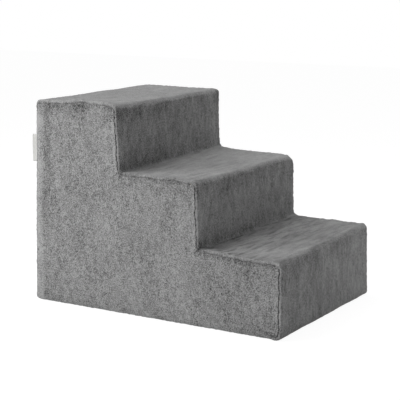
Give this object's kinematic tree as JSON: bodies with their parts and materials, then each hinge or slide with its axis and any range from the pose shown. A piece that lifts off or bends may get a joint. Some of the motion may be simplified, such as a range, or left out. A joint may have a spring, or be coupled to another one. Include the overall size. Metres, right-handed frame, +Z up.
{
  "type": "pet stairs",
  "caption": "Stepped foam pet stairs in a sewn plush cover with rounded noses, a fold label at the back edge, and a zip with a sliding runner and swinging tab under the base.",
  "frame": {"origin": "on the floor, at the middle of the stairs' footprint", "axes": "+X to the front, where the lowest step is; -X to the high back; -Y to the side with the label; +Z up"},
  "size_m": [0.6125, 0.42, 0.44],
  "materials": {
    "foam": "open-cell polyurethane foam, matt",
    "plush": "short-pile plush, mottled by its nap",
    "base_fabric": "woven, with rubber dots",
    "zip_tape": "woven polyester tape",
    "zip_teeth": "moulded, satin",
    "zip_metal": "die-cast, satin",
    "label": "smooth woven ribbon"
  },
  "bodies": {
    "stairs": {"foam_base_slab": "foam", "foam_middle_slab": "foam", "foam_top_slab": "foam", "left_side_panel": "plush", "right_side_panel": "plush", "step_panel": "plush", "back_panel": "plush", "base_panel_left": "base_fabric", "base_panel_right": "base_fabric", "zip_tape_left": "zip_tape", "zip_tape_right": "zip_tape", "zip_teeth_left": "zip_teeth", "zip_teeth_right": "zip_teeth", "zip_end_stops": "zip_metal", "side_label": "label"},
    "zip_slider": {"zip_slider": "zip_metal"},
    "zip_pull_tab": {"zip_pull_tab": "zip_metal"}
  },
  "joints": [
    {"name": "zip_slider_travel", "type": "slide", "parent": "stairs", "child": "zip_slider", "axis": [1, 0, 0], "range_m": [0, 0.4948], "deforming": ["zip_teeth_left", "zip_teeth_right"]},
    {"name": "zip_pull_swing", "type": "hinge", "parent": "zip_slider", "child": "zip_pull_tab", "pos_m": [-0.2491, 0.095, 0.0023], "axis": [0, 1, 0], "range_deg": [0, 180]}
  ]
}
